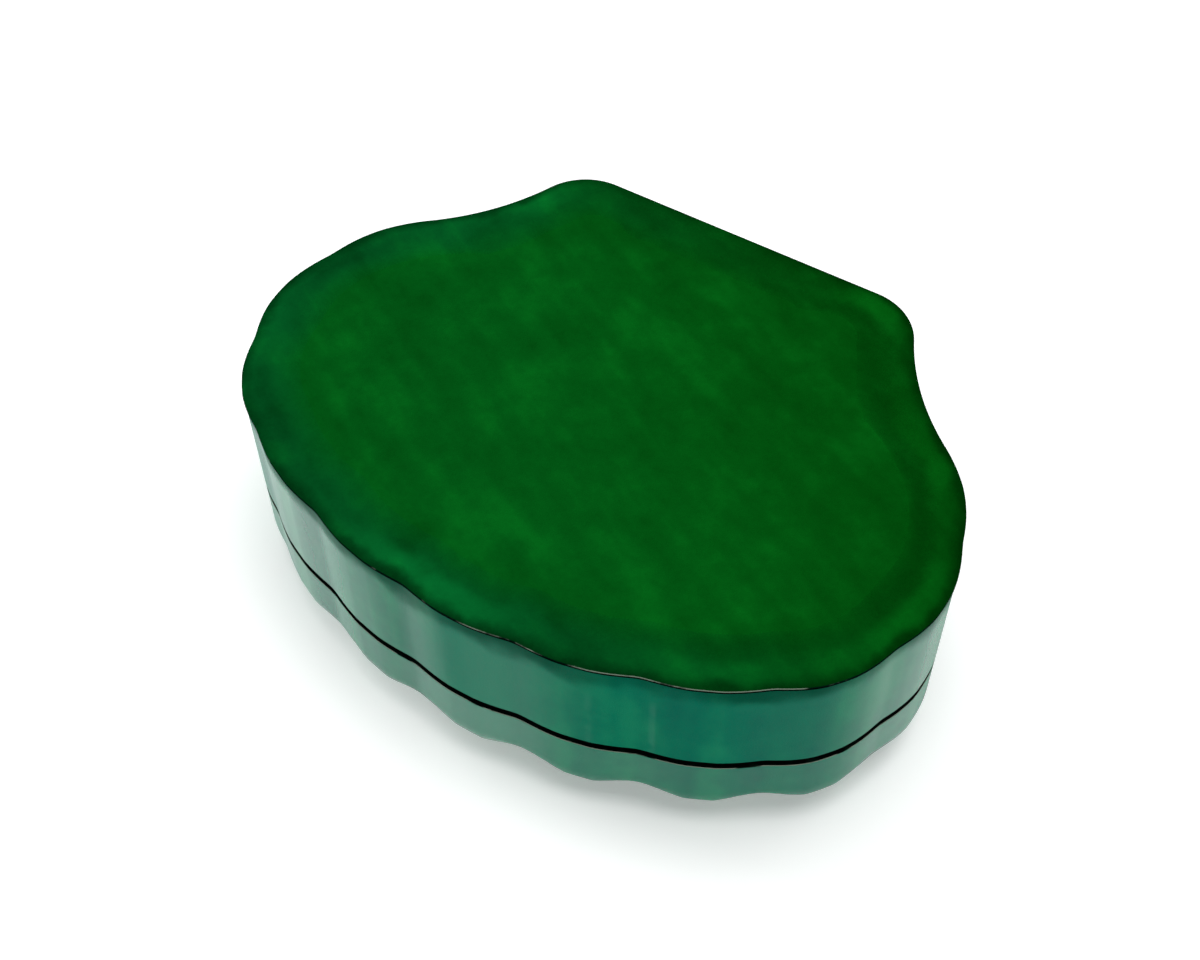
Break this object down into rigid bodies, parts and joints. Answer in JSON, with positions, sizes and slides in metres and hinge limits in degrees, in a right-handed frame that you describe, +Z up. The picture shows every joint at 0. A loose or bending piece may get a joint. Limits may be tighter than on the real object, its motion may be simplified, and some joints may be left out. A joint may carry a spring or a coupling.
{
  "type": "scallop-shell keepsake box",
  "caption": "Keepsake box in moulded leather: a flat, shell-shaped cover with an upright wall lifts straight off a shallow fluted tray with an inner collar.",
  "frame": {"origin": "middle of the footprint's bounding box, at floor level under the fluted tray", "axes": "+X along the width, +Y towards the straight edge behind the umbo, +Z up towards the flat cover"},
  "size_m": [0.156, 0.115, 0.0547],
  "materials": {
    "panel_leather": "polished vegetable-tanned leather, dyed deep green",
    "wall_leather": "polished vegetable-tanned leather, dyed blue-green, with black burnished edges",
    "collar_leather": "smooth dyed leather strip",
    "tray_leather": "polished wet-moulded leather, dyed blue-green, with black burnished edges"
  },
  "bodies": {
    "tray": {"scallop_tray": "tray_leather", "collar": "collar_leather"},
    "cover": {"cover_panel": "panel_leather", "cover_wall": "wall_leather"}
  },
  "joints": [
    {"name": "cover_lift", "type": "slide", "parent": "tray", "child": "cover", "axis": [0, 0, 1], "range_m": [0, 0.06]}
  ]
}
